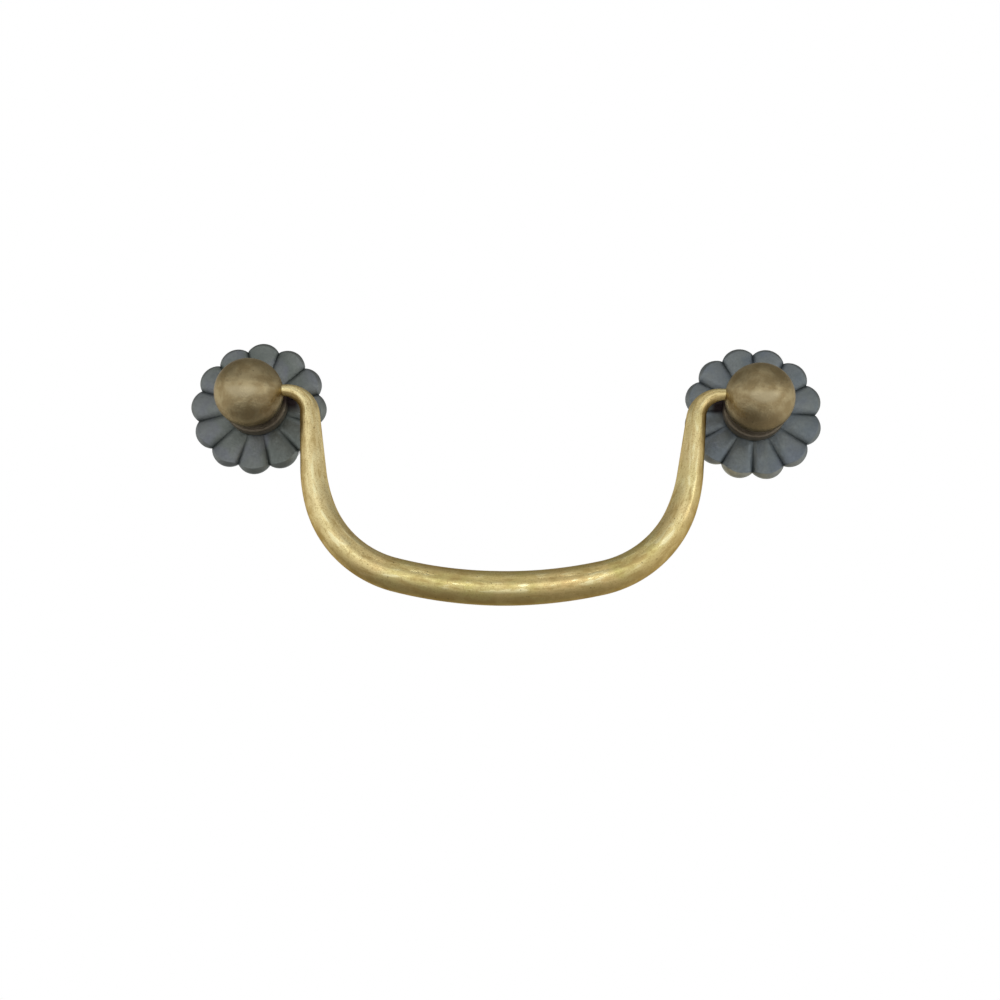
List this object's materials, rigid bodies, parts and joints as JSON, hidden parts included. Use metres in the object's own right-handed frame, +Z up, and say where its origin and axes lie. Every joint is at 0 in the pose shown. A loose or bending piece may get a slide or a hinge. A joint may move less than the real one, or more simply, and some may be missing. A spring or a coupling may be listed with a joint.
{
  "type": "swan-neck drop handle for a cabinet drawer",
  "caption": "Swan-neck drop handle for a drawer: a tapered bail swings between ball-headed posts that stand on petalled rosettes and bolt through the drawer front.",
  "frame": {"origin": "midway between the two posts' axes, on the plane of the rosettes' backs, which is the face of the drawer front", "axes": "+X along the handle from the left post to the right post, +Y into the drawer front along the posts, +Z up; the bail hangs towards -Z and the balls stand out towards -Y"},
  "size_m": [0.1223, 0.0403, 0.0533],
  "materials": {
    "bail_brass": "satin antique brass, rubbed bright by hand, browner in its low places",
    "post_brass": "brown antique patina on turned brass, softly grained",
    "rosette_patina": "blue-grey gunmetal patina over cast brass, dark in the grooves, rubbed to brass on the lower rims",
    "fixing_steel": "plain zinc-plated steel"
  },
  "bodies": {
    "fixed_parts": {"post_left": "post_brass", "post_right": "post_brass", "rosette_left": "rosette_patina", "rosette_right": "rosette_patina", "washer_left": "fixing_steel", "washer_right": "fixing_steel", "nut_left": "fixing_steel", "nut_right": "fixing_steel"},
    "swinging_bail": {"bail": "bail_brass"}
  },
  "joints": [
    {"name": "bail_swing", "type": "hinge", "parent": "fixed_parts", "child": "swinging_bail", "pos_m": [0, -0.00983, 0.0005], "axis": [-1, 0, 0], "range_deg": [-10, 190]}
  ]
}
